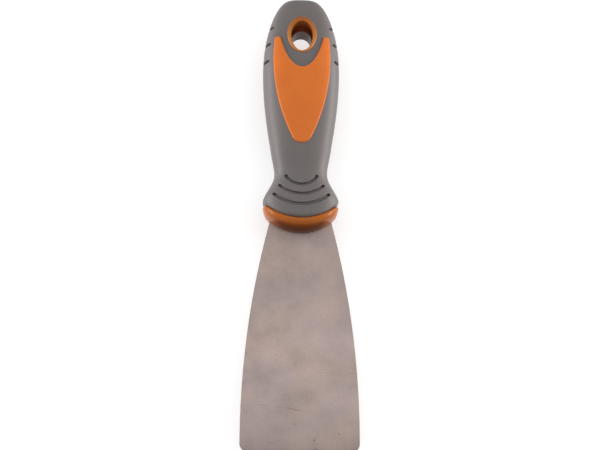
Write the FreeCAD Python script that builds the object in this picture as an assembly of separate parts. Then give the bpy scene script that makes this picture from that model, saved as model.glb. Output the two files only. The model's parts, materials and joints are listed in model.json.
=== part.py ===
"""Flexible putty knife: a flared spring-steel blade in a two-colour moulded handle.

Frame: +Z is up and out of the blade's front face, +Y runs from the working edge to the
hanging end, +X is across the blade. The knife lies on its back on a bench. The origin is
under the middle of its length, on the bench.

The pieces are drawn about the blade's mid-plane (z = 0), with y = 0 where the blade leaves
the collar on the centre line. place() then moves them into the frame above.
Lengths are millimetres.
"""

import FreeCAD
import Part

import math
import os

V = FreeCAD.Vector

# ---------------------------------------------------------------- overall sizes
handle_length = 107.9        # collar nose to hanging end
blade_reach = 94.1           # collar nose to working edge
blade_width = 50.8           # at the working edge, a 2 inch knife

# ---------------------------------------------------------------- handle outline, seen from the front
flare_y = 12.8               # widest point of the flared foot
flare_half_width = 16.8
foot_corner_radius = 12.5    # rounds the foot in towards the nose
neck_y = 26.9
neck_half_width = 11.65
swell_from_end = 33.9
swell_half_width = 17.1
end_half_width = 5.4         # flat left at the hanging end

# ---------------------------------------------------------------- handle outline, seen from the side
flare_half_thickness = 12.0
foot_side_radius = 60.0
neck_half_thickness = 9.4
swell_half_thickness = 11.6
end_half_thickness = 3.5

# ---------------------------------------------------------------- character of the handle's curves
section_squareness = 2.8     # 2 is an ellipse, more is squarer
section_points = 32
skin_start_y = -1.9          # first section, in front of the nose
neck_sharpness = 1.1         # growth from neck to swell
flare_sharpness = 1.25       # and from neck to flare
end_roundness_front = 0.50   # how full the hanging end is, from the front
end_roundness_side = 0.66    # and from the side

# ---------------------------------------------------------------- soft grip
grip_wall = 2.2
grip_foot_radius = 1.9       # rounded edge over the collar
rim_radius = 0.35            # rounded rims of the grooves

# ---------------------------------------------------------------- collar
collar_length = 4.87         # along the centre line
nose_radius = 20.4           # nose, from the front
nose_side_radius = 28.7      # nose, from the side
collar_nose_radius = 2.4     # rounded lip
collar_seam_radius = 0.9     # rounded edge under the grip
spigot_length = 2.0          # of the core, into the collar
spigot_step = 1.6            # how far it stands in from the core's skin

# ---------------------------------------------------------------- thumb grooves across the foot
groove_width = 1.3
groove_depth = 1.25            # of these and of the side grooves
# (y of the lowest point, half the chord, height of the arc)
thumb_grooves = [(10.6, 11.6, 4.7), (15.2, 9.25, 4.1), (19.7, 6.5, 4.0)]

# ---------------------------------------------------------------- side grooves at the hanging end
side_groove_count = 3
side_groove_pitch = 8.25
side_groove_from_end = 14.7  # the one nearest the end
side_groove_reach = 0.873    # starts at this share of the half width

# ---------------------------------------------------------------- inlay pads
inlay_tip_y = 38.6
inlay_tip_radius = 4.6
inlay_half_width = 12.65
inlay_widest_from_end = 29.9
inlay_top_from_end = 20.1    # tips of the two horns
inlay_notch_half_width = 10.0
inlay_notch_height = 22.0
inlay_notch_from_end = 34.8  # bottom of the notch under the hanging hole
inlay_horn_radius = 1.0
inlay_stand = 0.7            # proud of the grip
inlay_edge_radius = 0.7

# ---------------------------------------------------------------- hanging hole bushing
hole_from_end = 20.15
hole_radius = 4.4
hole_throat_half = 4.8       # half the length of the round throat
mouth_ledge = 0.15           # between the throat and its oval mouths
mouth_offset = 1.0           # of the mouths, towards the hanging end
mouth_half_width = hole_radius + 0.5
mouth_half_height = hole_radius + 3.45
bushing_offset = 1.25        # of the bushing's outside, the same way
bushing_half_width = mouth_half_width + 1.7
bushing_half_height = mouth_half_height + 1.25
bushing_stand = 0.45
bushing_flange_step = 1.5    # mid flange, trapped between the core halves
bushing_flange_half = 1.2
bushing_rim_radius = 0.75

# ---------------------------------------------------------------- blade
blade_thickness = 1.0        # in the handle
blade_edge_thickness = 0.6
blade_bevel_length = 1.3
blade_bevel_thickness = 0.24
blade_straight = 6.2             # parallel sides above the working edge
blade_root_half_width = 14.8     # where it leaves the collar
blade_corner_radius = 3.4
blade_taper_start = 3.0      # in front of the collar
shoulder_y = 9.0
shoulder_radius = 1.5
tang_half_width = 7.0
tang_end_half_width = 6.0
tang_from_end = 35.9
tang_end_radius = 3.5
tang_root_radius = 2.5

# ---------------------------------------------------------------- rivets
rivet_count = 3
rivet_first_y = 30.0
rivet_pitch = 18.0
rivet_head_radius = 4.0
rivet_head_height = 1.0
rivet_head_cover = 0.9       # soft grip over the head at the neck
rivet_tube_radius = 2.2
rivet_post_radius = 1.45

# ---------------------------------------------------------------- core
dowel_radius = 1.5
dowel_height = 3.0
dowel_foot_x = 10.6
dowel_foot_y = 17.5
dowel_end_from_end = 6.2
core_wall = 2.2
ledge_width = 1.7            # carries the edges of the tang
rivet_boss_radius = 5.2
pocket_corner_radius = 1.2

# ---------------------------------------------------------------- clearances
slide_gap = 0.1              # blade in its slot
press_gap = 0.05             # pieces pressed or trapped together
seat_gap = 0.1               # under pegs and over rivet heads

# ---------------------------------------------------------------- stations worked out from the sizes
swell_y = handle_length - swell_from_end
hole_y = handle_length - hole_from_end
bushing_y = hole_y + bushing_offset
inlay_widest_y = handle_length - inlay_widest_from_end
inlay_top_y = handle_length - inlay_top_from_end
inlay_notch_y = handle_length - inlay_notch_from_end
tang_end_y = handle_length - tang_from_end
edge_y = -blade_reach
seam_radius = nose_radius + 0.2
rivet_seat_z = neck_half_thickness - grip_wall - rivet_head_cover - rivet_head_height
rivet_top_z = rivet_seat_z + rivet_head_height
rivet_stations = [rivet_first_y + i * rivet_pitch for i in range(rivet_count)]
counterbore_radius = rivet_head_radius + seat_gap
bench_z = -(swell_half_thickness + inlay_stand)
FAR = 60.0                   # longer than any handle section


# ---------------------------------------------------------------- handle skin
def ease(u):
    """Smooth step from 0 to 1."""
    return u * u * (3 - 2 * u)


def blend_at(y, grow, neck, swell, flare, foot_radius, end, roundness):
    """Half size of the handle at y, for a skin that stands grow outside the grip."""
    end_y = handle_length + grow
    if y >= swell_y:
        share = max(0.0, (end_y - y) / (end_y - swell_y))
        return end + (swell + grow - end) * math.sin(math.pi / 2 * share) ** roundness
    if y >= neck_y:
        share = (y - neck_y) / (swell_y - neck_y)
        rise = math.sin(math.pi / 2 * share) ** neck_sharpness
        return neck + grow + (swell - neck) * rise
    if y >= flare_y:
        rise = ease((neck_y - y) / (neck_y - flare_y)) ** flare_sharpness
        return neck + grow + (flare - neck) * rise
    below = flare_y - y
    bend = 0.6 * foot_radius
    inside = min(below, bend)
    drop = foot_radius - math.sqrt(foot_radius**2 - inside**2)
    slope = bend / math.sqrt(foot_radius**2 - bend**2)
    return flare + grow - drop - max(0.0, below - bend) * slope


def half_width(y, grow=0.0):
    return blend_at(y, grow, neck_half_width, swell_half_width, flare_half_width,
                    foot_corner_radius, end_half_width, end_roundness_front)


def half_thickness(y, grow=0.0):
    return blend_at(y, grow, neck_half_thickness, swell_half_thickness, flare_half_thickness,
                    foot_side_radius, end_half_thickness, end_roundness_side)


def skin_height(x, y, grow=0.0):
    """Height of the skin over the mid-plane at (x, y)."""
    share = min(1.0, abs(x) / half_width(y, grow)) ** section_squareness
    return half_thickness(y, grow) * (1 - share) ** (1 / section_squareness)


def section(y, grow):
    """Closed superellipse across the handle at y, with the same knots at every y."""
    points = []
    for i in range(section_points):
        angle = 2 * math.pi * i / section_points
        c, s = math.cos(angle), math.sin(angle)
        reach = (abs(c) ** section_squareness + abs(s) ** section_squareness)
        reach **= -1 / section_squareness
        points.append(V(half_width(y, grow) * reach * c, y, half_thickness(y, grow) * reach * s))
    knots = [i / section_points for i in range(section_points + 1)]
    curve = Part.BSplineCurve()
    curve.interpolate(Points=points, PeriodicFlag=True, Parameters=knots)
    return Part.Wire([curve.toShape()])


def stations(grow):
    """Section places: even along the foot, neck and grip, crowding towards the round end."""
    foot = [skin_start_y + (flare_y - skin_start_y) * i / 6 for i in range(6)]
    flare = [flare_y + (neck_y - flare_y) * i / 5 for i in range(5)]
    grip = [neck_y + (swell_y - neck_y) * i / 8 for i in range(8)]
    end_y = handle_length + grow
    dome = [end_y - (end_y - swell_y) * (1 - i / 10) ** 2 for i in range(11)]
    return foot + flare + grip + dome


def handle_body(grow=0.0):
    """Solid inside the handle's skin, moved out by grow."""
    return Part.makeLoft([section(y, grow) for y in stations(grow)], True, False)


# ---------------------------------------------------------------- plan shapes and prisms
def prism(edges, low, high):
    """Plan outline, extruded from z = low to z = high."""
    face = Part.Face(Part.Wire(Part.__sortEdges__(edges)))
    face.translate(V(0, 0, low))
    return face.extrude(V(0, 0, high - low))


def line(a, b):
    return Part.LineSegment(V(a[0], a[1], 0), V(b[0], b[1], 0)).toShape()


def arc(a, m, b):
    return Part.Arc(V(a[0], a[1], 0), V(m[0], m[1], 0), V(b[0], b[1], 0)).toShape()


def oval(y, half_x, half_y, low, high):
    """Elliptical prism on the centre line at y."""
    centre = V(0, y, 0)
    if half_x < half_y:
        curve = Part.Ellipse(centre + V(0, half_y, 0), centre + V(half_x, 0, 0), centre)
    else:
        curve = Part.Ellipse(centre + V(half_x, 0, 0), centre + V(0, half_y, 0), centre)
    return prism([curve.toShape()], low, high)


def cylinder(x, y, radius, low, high):
    return Part.makeCylinder(radius, high - low, V(x, y, low), V(0, 0, 1))


def seam_y(x, ahead=0.0):
    """The curved seam between collar and grip, moved ahead towards the blade."""
    return collar_length - ahead + seam_radius - math.sqrt(seam_radius**2 - x**2)


def behind_seam(ahead=0.0):
    """Everything on the hanging-hole side of the seam."""
    x = 0.985 * seam_radius
    left, right = (-x, seam_y(x, ahead)), (x, seam_y(x, ahead))
    far_y = handle_length + FAR
    return prism([arc(left, (0, seam_y(0, ahead)), right), line(right, (FAR, right[1])),
                  line((FAR, right[1]), (FAR, far_y)), line((FAR, far_y), (-FAR, far_y)),
                  line((-FAR, far_y), (-FAR, left[1])), line((-FAR, left[1]), left)], -FAR, FAR)


def nose_y(x):
    return nose_radius - math.sqrt(nose_radius**2 - x**2)


def nose_barrel():
    """Doubly curved nose: the front arc swept about an axis across the handle."""
    x = 0.9 * nose_radius
    top = nose_side_radius - 2.0
    left, right = (-x, nose_y(x)), (x, nose_y(x))
    outline = [arc(left, (0, 0), right), line(right, (x, top)), line((x, top), (-x, top)),
               line((-x, top), left)]
    face = Part.Face(Part.Wire(outline))
    return face.revolve(V(0, nose_side_radius, 0), V(1, 0, 0), 360)


def edges_where(shape, test):
    """Edges whose middle and quarter points all pass the test."""
    found = []
    for edge in shape.Edges:
        a, b = edge.ParameterRange
        points = [edge.valueAt(a + (b - a) * share) for share in (0.25, 0.5, 0.75)]
        if all(test(p) for p in points):
            found.append(edge)
    return found


def on_skin(p, grow=0.0):
    """True for a point that lies on the skin."""
    share_x = (abs(p.x) / half_width(p.y, grow)) ** section_squareness
    share_z = (abs(p.z) / half_thickness(p.y, grow)) ** section_squareness
    return abs(share_x + share_z - 1) < 0.05


# ---------------------------------------------------------------- blade
def blade_outline(gap=0.0):
    """Flared blade, shoulders and tang as one prism, gap wider all round."""
    half = blade_width / 2
    low = edge_y - gap
    straight_y = edge_y + blade_straight
    radius = (straight_y**2 + (half - blade_root_half_width) ** 2) / (
        2 * (half - blade_root_half_width)) + gap
    half += gap

    def side(y):
        return half - radius + math.sqrt(radius**2 - (y - straight_y) ** 2)

    top = shoulder_y + gap
    middle = (straight_y + top) / 2
    tang_top = tang_end_y + gap
    root, tip = tang_half_width + gap, tang_end_half_width + gap
    edges = [line((-half, low), (half, low)), line((-tip, tang_top), (tip, tang_top))]
    for s in (-1, 1):
        edges.append(line((s * half, low), (s * half, straight_y)))
        edges.append(arc((s * half, straight_y), (s * side(middle), middle), (s * side(top), top)))
        edges.append(line((s * side(top), top), (s * root, top)))
        edges.append(line((s * root, top), (s * tip, tang_top)))
    solid = prism(edges, -FAR, FAR)
    rounds = [(half, low, blade_corner_radius + gap), (side(top), top, shoulder_radius + gap),
              (root, top, tang_root_radius - gap), (tip, tang_top, tang_end_radius + gap)]
    for x, y, r in rounds:
        corner = edges_where(solid, lambda p: math.hypot(abs(p.x) - x, p.y - y) < 0.01)
        solid = solid.makeFillet(r, corner)
    return solid


def blade_side_profile():
    """Thickness along the blade: parallel in the handle, taper ground, bevelled at the edge."""
    half = blade_thickness / 2
    stops = [(tang_end_y + 1, half), (-blade_taper_start, half),
             (edge_y + blade_bevel_length, blade_edge_thickness / 2),
             (edge_y - 0.001, blade_bevel_thickness / 2)]
    loop = [V(-FAR, y, z) for y, z in stops] + [V(-FAR, y, -z) for y, z in reversed(stops)]
    face = Part.Face(Part.makePolygon(loop + loop[:1]))
    return face.extrude(V(2 * FAR, 0, 0))


def blade():
    solid = blade_outline().common(blade_side_profile())
    for y in rivet_stations:
        solid = solid.cut(cylinder(0, y, rivet_tube_radius + slide_gap, -FAR, FAR))
    return solid


def blade_room(gap):
    """Space for the blade inside the handle."""
    slab = Part.makeBox(2 * FAR, 2 * handle_length, blade_thickness + 2 * gap,
                        V(-FAR, -handle_length / 2, -blade_thickness / 2 - gap))
    return blade_outline(gap).common(slab)


# ---------------------------------------------------------------- collar
def collar(outer):
    """Nose cap with the blade's slot, seated on the core's spigot."""
    blank = outer.common(nose_barrel()).cut(behind_seam())
    nose = edges_where(blank, lambda p: on_skin(p) and p.y < seam_y(p.x) - 0.5
                       and abs(math.hypot(nose_side_radius - p.y, p.z)
                               - nose_side_radius + nose_y(p.x)) < 0.02)
    blank = blank.makeFillet(collar_nose_radius, nose)
    seam = edges_where(blank, lambda p: on_skin(p) and abs(p.y - seam_y(p.x)) < 0.02)
    blank = blank.makeFillet(collar_seam_radius, seam)
    socket = handle_body(press_gap - grip_wall - spigot_step).common(
        behind_seam(spigot_length + press_gap))
    return blank.cut(socket).cut(blade_room(slide_gap))


# ---------------------------------------------------------------- hanging hole bushing
def bushing():
    """Lining of the hanging hole, held by a flange between the core halves."""
    body = oval(bushing_y, bushing_half_width, bushing_half_height, -FAR, FAR)
    body = body.common(handle_body(bushing_stand))
    rim = edges_where(body, lambda p: on_skin(p, bushing_stand))
    body = body.makeFillet(bushing_rim_radius, rim)
    step = bushing_flange_step
    body = body.fuse(oval(bushing_y, bushing_half_width + step, bushing_half_height + step,
                          -bushing_flange_half, bushing_flange_half))
    body = body.cut(cylinder(0, hole_y, hole_radius, -FAR, FAR))
    for side in (-1, 1):
        body = body.cut(mouth(side))
    return body.removeSplitter()


def mouth(side):
    """Funnel from just outside the round throat to the oval mouth, running on past the skin."""
    top = half_thickness(bushing_y) + bushing_stand
    start = hole_radius + mouth_ledge
    wires = []
    for z, share in ((hole_throat_half, 0.0), ((hole_throat_half + top) / 2, 0.62), (top, 1.0),
                     (top + 3.0, 1.3)):
        half_x = start + (mouth_half_width - start) * share
        half_y = start + 0.001 + (mouth_half_height - start) * share
        centre = V(0, hole_y + mouth_offset * share, side * z)
        ring = Part.Ellipse(centre + V(0, half_y, 0), centre + V(half_x, 0, 0), centre)
        wires.append(Part.Wire([ring.toShape()]))
    return Part.makeLoft(wires, True, False)


# ---------------------------------------------------------------- inlay pads
def inlay_outline():
    """Shield with two horns round the hanging hole."""
    half = inlay_half_width
    tip_r = inlay_tip_radius
    tip_c = inlay_tip_y + inlay_tip_radius
    rise = inlay_widest_y - tip_c
    side_r = (half**2 + rise**2 - tip_r**2) / (2 * (half - tip_r))
    side_x = half - side_r
    lean = math.atan2(rise, -side_x)
    join = (tip_r * math.cos(lean), tip_c - tip_r * math.sin(lean))
    top = inlay_top_y

    def side(y):
        return side_x + math.sqrt(side_r**2 - (y - inlay_widest_y) ** 2)

    middle = (join[1] + top) / 2
    edges = [arc((-join[0], join[1]), (0, tip_c - tip_r), join),
             line((-side(top), top), (side(top), top))]
    for s in (-1, 1):
        edges.append(arc((s * join[0], join[1]), (s * side(middle), middle), (s * side(top), top)))
    solid = prism(edges, 0, FAR)
    notch_c = inlay_notch_y + inlay_notch_height
    solid = solid.cut(oval(notch_c, inlay_notch_half_width, inlay_notch_height, -1, FAR + 1))
    corners = edges_where(solid, lambda p: abs(p.y - top) < 0.01 and 1 < p.z < FAR - 1)
    upright = [e for e in corners if abs(e.tangentAt(e.FirstParameter).z) > 0.99]
    return solid.makeFillet(inlay_horn_radius, upright)


def inlay(outline, core_skin):
    """Front pad, with a peg into each rivet counterbore that it covers."""
    body = handle_body(inlay_stand).common(outline)
    rim = edges_where(body, lambda p: on_skin(p, inlay_stand))
    body = body.makeFillet(inlay_edge_radius, rim)
    body = body.cut(core_skin)
    for y in covered_rivets():
        peg = cylinder(0, y, counterbore_radius - press_gap, rivet_top_z + seat_gap, FAR)
        body = body.fuse(peg.common(handle_body(-grip_wall / 2)))
    return body.removeSplitter()


def covered_rivets():
    """Rivets that lie under the pads."""
    return [y for y in rivet_stations if y - rivet_head_radius > inlay_tip_y]


# ---------------------------------------------------------------- soft grip
def thumb_groove(low_y, half_chord, height):
    """Arc-shaped slot in plan, with round ends."""
    radius = (half_chord**2 + height**2) / (2 * height)
    centre = low_y + radius
    swing = math.asin(half_chord / radius)
    inner, outer = radius - groove_width / 2, radius + groove_width / 2

    def at(r, angle):
        return (r * math.sin(angle), centre - r * math.cos(angle))

    edges = [arc(at(inner, -swing), at(inner, 0), at(inner, swing)),
             arc(at(outer, -swing), at(outer, 0), at(outer, swing))]
    for s in (-1, 1):
        end = at(radius, s * swing)
        over = (end[0] + s * groove_width / 2 * math.cos(swing),
                end[1] + groove_width / 2 * math.sin(swing))
        edges.append(arc(at(inner, s * swing), over, at(outer, s * swing)))
    return prism(edges, -FAR, FAR)


def side_groove(y):
    """Slot across both sides of the handle, with a round inner end."""
    start = side_groove_reach * half_width(y)
    half = groove_width / 2
    cuts = []
    for s in (-1, 1):
        cuts.append(prism([line((s * start, y - half), (s * FAR, y - half)),
                           line((s * FAR, y - half), (s * FAR, y + half)),
                           line((s * FAR, y + half), (s * start, y + half)),
                           arc((s * start, y - half), (s * (start - half), y),
                               (s * start, y + half))], -FAR, FAR))
    return cuts


def grip(outer, core_skin, pad_openings):
    """Soft skin over the core, open under the pads and round the bushing."""
    body = outer.common(behind_seam())
    foot = edges_where(body, lambda p: on_skin(p) and abs(p.y - seam_y(p.x)) < 0.02)
    body = body.makeFillet(grip_foot_radius, foot)

    grooves = [thumb_groove(*row) for row in thumb_grooves]
    first = handle_length - side_groove_from_end
    for i in range(side_groove_count):
        grooves += side_groove(first - i * side_groove_pitch)
    grooves = Part.makeCompound(grooves).cut(handle_body(-groove_depth))
    body = body.cut(grooves.Solids)
    rims = edges_where(body, lambda p: on_skin(p) and p.y > seam_y(p.x) + 1
                       and abs(p.z) > 0.2 and p.y < handle_length - 1)
    body = body.makeFillet(rim_radius, rims)

    window = oval(bushing_y, bushing_half_width, bushing_half_height, -FAR, FAR)
    body = body.cut(pad_openings + [window, core_skin])
    for y in rivet_stations:
        if y not in covered_rivets():
            plug = cylinder(0, y, counterbore_radius, -FAR, FAR).common(handle_body(-grip_wall / 2))
            plug = plug.cut(cylinder(0, y, FAR, -rivet_top_z, rivet_top_z))
            body = body.fuse(plug)
    return body.removeSplitter()


# ---------------------------------------------------------------- hard core, in two halves
def core_half(core_skin):
    """Front half: z > 0."""
    spigot = handle_body(-grip_wall - spigot_step).common(behind_seam(spigot_length))
    body = core_skin.common(behind_seam()).fuse(spigot)
    body = body.common(Part.makeBox(2 * FAR, 3 * handle_length, FAR, V(-FAR, -handle_length, 0)))
    body = body.cut(blade_room(press_gap))
    for y in rivet_stations:
        body = body.cut(cylinder(0, y, rivet_tube_radius + press_gap, -1, FAR))
        body = body.cut(cylinder(0, y, counterbore_radius, rivet_seat_z, FAR))
    for pocket in core_pockets():
        body = body.cut(pocket)
    gap = press_gap
    body = body.cut(oval(bushing_y, bushing_half_width + gap, bushing_half_height + gap, -1, FAR))
    step = bushing_flange_step + gap
    body = body.cut(oval(bushing_y, bushing_half_width + step, bushing_half_height + step,
                         -1, bushing_flange_half + gap))
    return body.removeSplitter()


def core_pockets():
    """Pockets behind the tang, between the rivet bosses."""
    first = shoulder_y + tang_root_radius
    stops = [first - rivet_boss_radius] + rivet_stations
    half = tang_half_width - ledge_width
    pockets = []
    for low, high in zip(stops, stops[1:]):
        y0, y1 = low + rivet_boss_radius, high - rivet_boss_radius
        thinnest = min(skin_height(half, y, -grip_wall) for y in (y0, (y0 + y1) / 2, y1))
        box = Part.makeBox(2 * half, y1 - y0, thinnest - core_wall + 1, V(-half, y0, -1))
        upright = [e for e in box.Edges if abs(e.tangentAt(e.FirstParameter).z) > 0.99]
        pockets.append(box.makeFillet(pocket_corner_radius, upright))
    return pockets


def dowel_places():
    return [(-dowel_foot_x, dowel_foot_y), (dowel_foot_x, dowel_foot_y),
            (0, handle_length - dowel_end_from_end)]


def core_front(half):
    for x, y in dowel_places():
        half = half.cut(cylinder(x, y, dowel_radius + press_gap, -1, dowel_height + seat_gap))
    return half


def core_back(half):
    back = half.mirror(V(0, 0, 0), V(0, 0, 1))
    for x, y in dowel_places():
        back = back.fuse(cylinder(x, y, dowel_radius, -dowel_height, dowel_height))
    return back.removeSplitter()


# ---------------------------------------------------------------- two-piece compression rivets
def rivet_socket(y):
    """Front piece: flat head on a tube."""
    head = cylinder(0, y, rivet_head_radius, rivet_seat_z, rivet_top_z)
    rim = edges_where(head, lambda p: abs(p.z - rivet_top_z) < 0.01)
    head = head.makeChamfer(rivet_head_height / 3, rim)
    tube = cylinder(0, y, rivet_tube_radius, -rivet_seat_z + seat_gap, rivet_seat_z)
    bore = cylinder(0, y, rivet_post_radius, -FAR, rivet_seat_z - rivet_head_height)
    return head.fuse(tube).cut(bore).removeSplitter()


def rivet_post(y):
    """Back piece: flat head on a solid post that is driven into the tube."""
    head = cylinder(0, y, rivet_head_radius, -rivet_top_z, -rivet_seat_z)
    rim = edges_where(head, lambda p: abs(p.z + rivet_top_z) < 0.01)
    head = head.makeChamfer(rivet_head_height / 3, rim)
    top = rivet_seat_z - rivet_head_height - seat_gap
    return head.fuse(cylinder(0, y, rivet_post_radius, -rivet_seat_z, top)).removeSplitter()


# ---------------------------------------------------------------- assembly
def place(shape):
    """From the drawing frame into the part's frame."""
    moved = shape.copy()
    moved.translate(V(0, (blade_reach - handle_length) / 2, -bench_z))
    return moved


def build():
    outer = handle_body()
    core_skin = handle_body(-grip_wall)
    half = core_half(core_skin)
    front_opening = inlay_outline()
    front_pad = inlay(front_opening, core_skin)
    flip = (V(0, 0, 0), V(0, 0, 1))
    pieces = {
        "blade": blade(),
        "collar": collar(outer),
        "core_front": core_front(half),
        "core_back": core_back(half),
        "grip": grip(outer, core_skin, [front_opening, front_opening.mirror(*flip)]),
        "hang_hole_bushing": bushing(),
        "inlay_front": front_pad,
        "inlay_back": front_pad.mirror(*flip),
    }
    for i, y in enumerate(rivet_stations):
        pieces[f"rivet_socket_{i + 1}"] = rivet_socket(y)
        pieces[f"rivet_post_{i + 1}"] = rivet_post(y)
    return pieces


os.makedirs("parts", exist_ok=True)
for name, shape in build().items():
    place(shape).exportStep(f"parts/{name}.step")
    print(f"{name}: {len(shape.Solids)} solid, {shape.Volume:.0f} mm3, valid {shape.isValid()}")
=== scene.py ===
"""Flexible putty knife: materials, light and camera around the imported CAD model.

Row frame, metres: +Y from the working edge to the hanging end, +Z up out of the front face.
"""

import json
import math

import bpy
from mathutils import Matrix, Vector

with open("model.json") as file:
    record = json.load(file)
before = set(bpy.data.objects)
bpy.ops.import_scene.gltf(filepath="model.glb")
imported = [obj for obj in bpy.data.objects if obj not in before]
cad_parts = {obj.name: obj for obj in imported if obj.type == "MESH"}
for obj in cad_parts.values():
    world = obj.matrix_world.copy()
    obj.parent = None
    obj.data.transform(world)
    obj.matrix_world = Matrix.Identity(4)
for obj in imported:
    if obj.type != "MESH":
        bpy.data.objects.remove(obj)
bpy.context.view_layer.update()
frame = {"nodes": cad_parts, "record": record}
nodes = frame["nodes"]
scene = bpy.context.scene

# ---------------------------------------------------------------- camera and picture
LENS_MM = 75.3
SENSOR_MM = 36.0
CLIP_NEAR, CLIP_FAR = 0.01, 20
CAMERA_DISTANCE = 0.550
CAMERA_ELEVATION = 77.0      # degrees above the bench, from the working edge's side
CAMERA_SIDE = -2.4           # degrees towards -X
CAMERA_ROLL = 0.2            # degrees about the line of sight
AIM = Vector((-0.0002, -0.0030, 0.0123))


def make_camera():
    data = bpy.data.cameras.new("camera")
    data.lens = LENS_MM
    data.sensor_width = SENSOR_MM
    data.clip_start, data.clip_end = CLIP_NEAR, CLIP_FAR
    camera = bpy.data.objects.new("camera", data)
    scene.collection.objects.link(camera)
    up_angle, side_angle = math.radians(CAMERA_ELEVATION), math.radians(CAMERA_SIDE)
    back = Vector((math.sin(side_angle), -math.cos(up_angle),
                   math.sin(up_angle) * math.cos(side_angle))).normalized()
    right = Vector((0, 1, 0)).cross(back).normalized()
    up = back.cross(right)
    turn = Matrix((right, up, back)).transposed().to_4x4()
    roll = Matrix.Rotation(math.radians(CAMERA_ROLL), 4, "Z")
    camera.matrix_world = Matrix.Translation(AIM + back * CAMERA_DISTANCE) @ turn @ roll
    scene.camera = camera


make_camera()
scene.view_settings.view_transform = "Standard"
scene.view_settings.look = "None"

# ---------------------------------------------------------------- material helpers
# sockets of the colour Mix node, which share their names with its other data types
MIX_SHARE, MIX_A, MIX_B, MIX_RESULT = 0, 6, 7, 2
NOISE_LOW, NOISE_HIGH = 0.3, 0.7     # between these lies nearly all of a noise


class Shader:
    """One material's node tree, with the object's own coordinates in metres."""

    def __init__(self, name):
        self.material = bpy.data.materials.new(name)
        self.material.use_nodes = True
        self.nodes = self.material.node_tree.nodes
        self.links = self.material.node_tree.links
        self.nodes.clear()
        self.bsdf = self.nodes.new("ShaderNodeBsdfPrincipled")
        output = self.nodes.new("ShaderNodeOutputMaterial")
        self.links.new(self.bsdf.outputs[0], output.inputs[0])
        self.place = self.nodes.new("ShaderNodeTexCoord").outputs["Object"]

    def join(self, source, socket):
        """Set a number or colour on the socket, or link a node's output to it."""
        if isinstance(source, (int, float)):
            socket.default_value = source
        elif isinstance(source, tuple):
            socket.default_value = (*source, 1.0)[: len(socket.default_value)]
        else:
            self.links.new(source, socket)

    def set(self, name, source):
        self.join(source, self.bsdf.inputs[name])

    def scaled(self, scale, turn, shift):
        """Coordinates turned about Z by turn degrees and moved by shift, then scaled."""
        flat = self.nodes.new("ShaderNodeMapping")
        self.links.new(self.place, flat.inputs["Vector"])
        flat.inputs["Rotation"].default_value = (0, 0, math.radians(turn))
        flat.inputs["Location"].default_value = (shift, shift, shift)
        node = self.nodes.new("ShaderNodeMapping")
        self.links.new(flat.outputs[0], node.inputs["Vector"])
        node.inputs["Scale"].default_value = scale
        return node.outputs[0]

    def axis(self, name):
        node = self.nodes.new("ShaderNodeSeparateXYZ")
        self.links.new(self.place, node.inputs[0])
        return node.outputs[name]

    def noise(self, scale, detail, roughness=0.55, stretch=(1, 1, 1), turn=0.0, shift=0.0):
        """Noise of about scale features to the metre; a small stretch draws it out that way."""
        node = self.nodes.new("ShaderNodeTexNoise")
        self.links.new(self.scaled(stretch, turn, shift), node.inputs["Vector"])
        node.inputs["Scale"].default_value = scale
        node.inputs["Detail"].default_value = detail
        node.inputs["Roughness"].default_value = roughness
        return node.outputs[0]

    def ramp(self, value, stops):
        """Colour by value, from (position, colour) stops."""
        node = self.nodes.new("ShaderNodeValToRGB")
        self.links.new(value, node.inputs[0])
        elements = node.color_ramp.elements
        while len(elements) < len(stops):
            elements.new(0.5)
        for element, (position, colour) in zip(elements, stops):
            element.position = position
            element.color = (*colour, 1.0)
        return node.outputs[0]

    def remap(self, value, low, high, to_low, to_high):
        """Carry low..high to to_low..to_high, and hold the ends beyond."""
        node = self.nodes.new("ShaderNodeMapRange")
        self.links.new(value, node.inputs[0])
        for i, number in enumerate((low, high, to_low, to_high)):
            node.inputs[i + 1].default_value = number
        return node.outputs[0]

    def spread(self, noise, to_low, to_high):
        """Carry the whole of a noise to to_low..to_high."""
        return self.remap(noise, NOISE_LOW, NOISE_HIGH, to_low, to_high)

    def math(self, operation, a, b=0.0):
        node = self.nodes.new("ShaderNodeMath")
        node.operation = operation
        self.join(a, node.inputs[0])
        self.join(b, node.inputs[1])
        return node.outputs[0]

    def mix(self, share, a, b, blend="MIX"):
        node = self.nodes.new("ShaderNodeMix")
        node.data_type = "RGBA"
        node.blend_type = blend
        self.join(share, node.inputs[MIX_SHARE])
        self.join(a, node.inputs[MIX_A])
        self.join(b, node.inputs[MIX_B])
        return node.outputs[MIX_RESULT]

    def bump(self, height, distance, strength, under=None):
        """Normal raised by height; under is the normal of a finer bump beneath it."""
        node = self.nodes.new("ShaderNodeBump")
        self.links.new(height, node.inputs["Height"])
        node.inputs["Distance"].default_value = distance
        node.inputs["Strength"].default_value = strength
        if under is not None:
            self.links.new(under, node.inputs["Normal"])
        return node.outputs[0]


# ---------------------------------------------------------------- places on the knife, metres
WORKING_EDGE_Y = -0.101
COLLAR_Y = -0.007
MID_HEIGHT = 0.0123          # of the blade and of the hanging hole
NOSE_RADIUS = 0.0204         # collar's curve over the blade, seen from the front
NOSE_CENTRE_Y = 0.0135

# ---------------------------------------------------------------- soft grey grip
GRIP_DARK, GRIP_LIGHT = (0.122, 0.106, 0.105), (0.142, 0.124, 0.121)
GRIP_DUST = (0.24, 0.225, 0.22)


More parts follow.
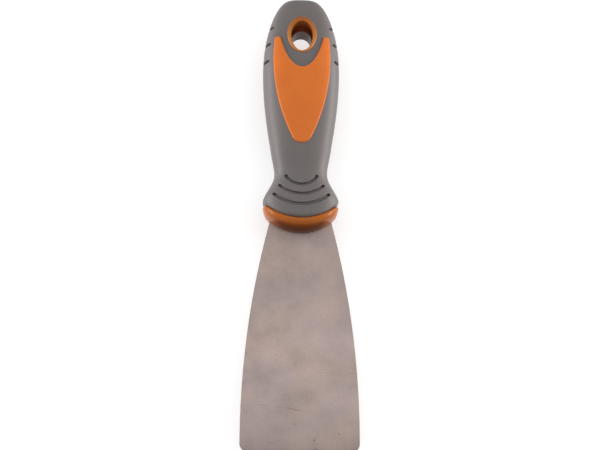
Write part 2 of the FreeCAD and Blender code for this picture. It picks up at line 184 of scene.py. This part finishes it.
def grey_rubber():
    """Matt grey with a slight cloud and a little pale dust."""
    s = Shader("grip_rubber")
    cloud = s.noise(38, 4)
    grain = s.noise(2600, 2, 0.6)
    specks = s.noise(900, 2, 0.5)
    colour = s.ramp(cloud, [(NOISE_LOW, GRIP_DARK), (NOISE_HIGH, GRIP_LIGHT)])
    dust = s.remap(specks, 0.66, 0.74, 0.0, 0.25)
    colour = s.mix(dust, colour, GRIP_DUST)
    s.set("Base Color", colour)
    s.set("Roughness", s.spread(cloud, 0.46, 0.56))
    s.set("Specular IOR Level", 0.40)
    s.set("Normal", s.bump(grain, 0.00004, 0.5))
    return s.material


# ---------------------------------------------------------------- orange parts
ORANGE_ROUGHNESS_SWING = 0.12        # share of the roughness, either way
# painted shade colours: dark brown down the bushing's bore and along the collar's nose over the
# blade
BORE_PAINTED_SHADE, COLLAR_NOSE_SHADE = (0.115, 0.022, 0.006), (0.125, 0.028, 0.005)
# painted shade in the bore: full nearer mid height than the first depth, gone beyond the second
BORE_FULL_SHADE_DEPTH, BORE_NO_SHADE_DEPTH = 0.0065, 0.0108     # from mid height to the mouth
# painted shade along the collar's nose, over the blade
LIP_SHADE_STARTS, LIP_SHADE_FULL = 0.0022, 0.0008         # inside the nose's edge
LIP_SHADE_HALF_WIDTH, LIP_SHADE_ENDS = 0.0085, 0.0145     # either side of the middle


def painted_shade_in_bore(s, colour):
    """Painted shade: darker down the bore than at its two mouths."""
    depth = s.math("ABSOLUTE", s.math("SUBTRACT", s.axis("Z"), MID_HEIGHT))
    unshaded = s.remap(depth, BORE_FULL_SHADE_DEPTH, BORE_NO_SHADE_DEPTH, 0.0, 1.0)
    return s.mix(unshaded, BORE_PAINTED_SHADE, colour)


def painted_shade_on_collar_nose(s, colour):
    """Painted shade: a dark line along the collar's nose, where it meets the blade."""
    across = s.math("POWER", s.axis("X"), 2.0)
    along = s.math("POWER", s.math("SUBTRACT", NOSE_CENTRE_Y, s.axis("Y")), 2.0)
    reach = s.math("SQRT", s.math("ADD", across, along))
    lip_shade = s.remap(reach, NOSE_RADIUS - LIP_SHADE_STARTS, NOSE_RADIUS - LIP_SHADE_FULL, 0.0, 1.0)
    from_middle = s.math("ABSOLUTE", s.axis("X"))
    over_blade = s.remap(from_middle, LIP_SHADE_HALF_WIDTH, LIP_SHADE_ENDS, 1.0, 0.0)
    return s.mix(s.math("MULTIPLY", lip_shade, over_blade), colour, COLLAR_NOSE_SHADE)


def orange_plastic(name, dark, light, roughness, grain_depth, specular, paint_shade=None):
    """Moulded orange between dark and light; the optional function paints shade into its colour.
    """
    s = Shader(name)
    cloud = s.noise(55, 4)
    grain = s.noise(2200, 2, 0.6)
    colour = s.ramp(cloud, [(0.32, dark), (0.68, light)])
    # painted shade, for the parts given a function for it
    if paint_shade is not None:
        colour = paint_shade(s, colour)
    s.set("Base Color", colour)
    s.set("Roughness", s.spread(cloud, roughness * (1 - ORANGE_ROUGHNESS_SWING),
                                roughness * (1 + ORANGE_ROUGHNESS_SWING)))
    s.set("Specular IOR Level", specular)
    s.set("Normal", s.bump(grain, grain_depth, 0.5))
    return s.material


# ---------------------------------------------------------------- blade
STEEL_WARM, STEEL_COOL = (0.378, 0.298, 0.266), (0.350, 0.282, 0.272)
STEEL_SPECK = (0.200, 0.165, 0.155)
STEEL_GRAIN = (0.465, 0.380, 0.350)
STEEL_MARK = (0.138, 0.116, 0.108)       # scratches and pits
STAIN_SHADES = [(0.33, (0.86, 0.86, 0.87)), (0.50, (0.99, 0.99, 0.99)),
                (0.66, (1.07, 1.065, 1.06))]
# painted reflection: brighter in the middle, darker towards the working edge (0) and the collar
# (1)
PAINTED_SHEEN_ALONG_BLADE = [(0.00, (0.78, 0.78, 0.79)), (0.08, (0.94, 0.94, 0.94)),
               (0.24, (1.06, 1.06, 1.06)), (0.48, (1.13, 1.13, 1.13)),
               (0.72, (1.00, 1.00, 1.00)), (1.00, (0.95, 0.94, 0.92))]
MARKS_FULL, MARKS_END = 0.05, 0.45       # along the blade, from the working edge


def spring_steel():
    """Satin steel: soft stains, faint grain along the blade, scratches near the working edge,
    painted reflection brighter mid-blade.
    """
    s = Shader("blade_steel")
    stain = s.noise(66, 5, 0.6, (0.95, 1.05, 1))
    tint = s.noise(48, 3, 0.5, shift=0.37)
    speck = s.noise(1500, 2, 0.6)
    grain = s.noise(900, 4, 0.65, (1, 0.05, 1))
    fine = s.noise(3200, 2, 0.6, (1, 0.02, 1))
    colour = s.ramp(tint, [(0.40, STEEL_WARM), (0.60, STEEL_COOL)])
    colour = s.mix(1.0, colour, s.ramp(stain, STAIN_SHADES), "MULTIPLY")
    along = s.remap(s.axis("Y"), WORKING_EDGE_Y, COLLAR_Y, 0.0, 1.0)
    # painted reflection: brightness along the blade
    colour = s.mix(1.0, colour, s.ramp(along, PAINTED_SHEEN_ALONG_BLADE), "MULTIPLY")
    colour = s.mix(s.remap(speck, 0.35, 0.65, 0.0, 0.22), colour, STEEL_SPECK)
    colour = s.mix(s.remap(grain, 0.35, 0.65, 0.0, 0.10), colour, STEEL_GRAIN)

    scratch = s.noise(900, 1, 0.4, (0.10, 1, 1), 8, 0.05)
    pit = s.noise(380, 2, 0.5, shift=0.11)
    marks = s.math("MAXIMUM", s.remap(scratch, 0.735, 0.765, 0.0, 0.5),
                   s.remap(pit, 0.68, 0.74, 0.0, 0.6))
    marks = s.math("MULTIPLY", marks, s.remap(along, MARKS_FULL, MARKS_END, 1.0, 0.0))
    s.set("Base Color", s.mix(marks, colour, STEEL_MARK))
    s.set("Metallic", 1.0)

    rough = s.math("ADD", s.spread(stain, 0.44, 0.35), s.spread(grain, -0.04, 0.04))
    s.set("Roughness", s.math("ADD", rough, s.math("MULTIPLY", marks, 0.2)))
    lines = s.bump(fine, 0.00001, 0.35)
    s.set("Normal", s.bump(grain, 0.00002, 0.3, lines))
    return s.material


# ---------------------------------------------------------------- hidden pieces
PLAIN_DARKEST = 0.85                 # share of the colour
PLAIN_ROUGHNESS_SWING = 0.15         # share of the roughness, either way


def plain(name, colour, roughness, metallic=0.0):
    """Lightly mottled finish for the core and the rivets."""
    s = Shader(name)
    grain = s.noise(700, 3)
    dark = tuple(PLAIN_DARKEST * c for c in colour)
    s.set("Base Color", s.ramp(grain, [(NOISE_LOW, dark), (NOISE_HIGH, colour)]))
    s.set("Roughness", s.spread(grain, roughness * (1 - PLAIN_ROUGHNESS_SWING),
                                roughness * (1 + PLAIN_ROUGHNESS_SWING)))
    s.set("Metallic", metallic)
    s.set("Normal", s.bump(grain, 0.00005, 0.3))
    return s.material


# ---------------------------------------------------------------- finish of each piece
finishes = {
    "grip_rubber": grey_rubber(),
    # the collar's orange carries painted shade along its nose
    "orange_gloss": orange_plastic("orange_gloss", (0.350, 0.090, 0.010), (0.395, 0.106, 0.014),
                                   0.24, 0.00001, 0.20, painted_shade_on_collar_nose),
    # the bushing's own lighter copy of the collar's orange: painted light on the hole's ring,
    # with painted shade down its bore
    "orange_bore_lit_and_shaded": orange_plastic("orange_bore_lit_and_shaded", (0.430, 0.145, 0.028), (0.490, 0.170, 0.036),
                                  0.30, 0.00001, 0.20, painted_shade_in_bore),
    "orange_pad": orange_plastic("orange_pad", (0.590, 0.130, 0.009), (0.655, 0.155, 0.013),
                                 0.58, 0.00004, 0.36),
    "blade_steel": spring_steel(),
    "core_plastic": plain("core_plastic", (0.10, 0.10, 0.105), 0.5),
    "rivet_metal": plain("rivet_metal", (0.75, 0.75, 0.76), 0.35, 1.0),
}
# the bushing takes its lighter copy of the orange, which is painted light
OWN_FINISH = {"hang_hole_bushing": "orange_bore_lit_and_shaded"}    # the others go by the record's slot
for entry in frame["record"]["subparts"]:
    piece = nodes[entry["node"]]
    for material_slot in piece.material_slots:
        material_slot.material = finishes[OWN_FINISH.get(piece.name, entry["material_slot"])]

# ---------------------------------------------------------------- floor
FLOOR_HALF = 3.0
FLOOR_DROP = 0.0002                  # below the knife, so that the two don't touch
FLOOR_GREY = (0.6, 0.6, 0.6)
FLOOR_GLOW = 0.52                    # it shines a little, so it stays white around the knife

floor_mesh = bpy.data.meshes.new("floor")
corners = [(x * FLOOR_HALF, y * FLOOR_HALF, -FLOOR_DROP)
           for x, y in ((-1, -1), (1, -1), (1, 1), (-1, 1))]
floor_mesh.from_pydata(corners, [], [(0, 1, 2, 3)])
floor = bpy.data.objects.new("floor", floor_mesh)
scene.collection.objects.link(floor)
glowing_table = Shader("floor")
glowing_table.set("Base Color", FLOOR_GREY)
glowing_table.set("Roughness", 0.9)
glowing_table.set("Specular IOR Level", 0.0)
glowing_table.set("Emission Color", (1.0, 1.0, 1.0))
glowing_table.set("Emission Strength", FLOOR_GLOW)
floor_mesh.materials.append(glowing_table.material)

# ---------------------------------------------------------------- light
MIDDLE = (0, 0.03, 0.01)             # of the knife; every softbox faces it
WHITE, WARM_WHITE = (1, 1, 1), (1.0, 0.99, 0.97)
SIDE_BOX = (0.8, 0.26)               # long and low
SOFTBOXES = [
    # name, place, (width, height), watts, colour
    ("softbox_left", (-0.97, 0.14, 0.16), SIDE_BOX, 9.5, WHITE),
    ("softbox_right", (0.97, 0.14, 0.16), SIDE_BOX, 10.5, WARM_WHITE),
    ("softbox_behind", (0, 0.94, 0.43), (0.9, 0.35), 0.8, WHITE),
    ("softbox_above", (0, 0.10, 1.05), (1.7, 1.7), 8.0, WHITE),
]
WORLD_COLOUR = (1.0, 0.99, 0.985, 1)
WORLD_STRENGTH = 0.28

for name, place, size, watts, colour in SOFTBOXES:
    data = bpy.data.lights.new(name, "AREA")
    data.shape = "RECTANGLE"
    data.size, data.size_y = size
    data.energy = watts
    data.color = colour
    light = bpy.data.objects.new(name, data)
    scene.collection.objects.link(light)
    light.location = place
    light.rotation_mode = "QUATERNION"
    light.rotation_quaternion = (Vector(place) - Vector(MIDDLE)).to_track_quat("Z", "Y")

world = bpy.data.worlds.new("studio")
world.use_nodes = True
background = world.node_tree.nodes["Background"]
background.inputs["Color"].default_value = WORLD_COLOUR
background.inputs["Strength"].default_value = WORLD_STRENGTH
scene.world = world
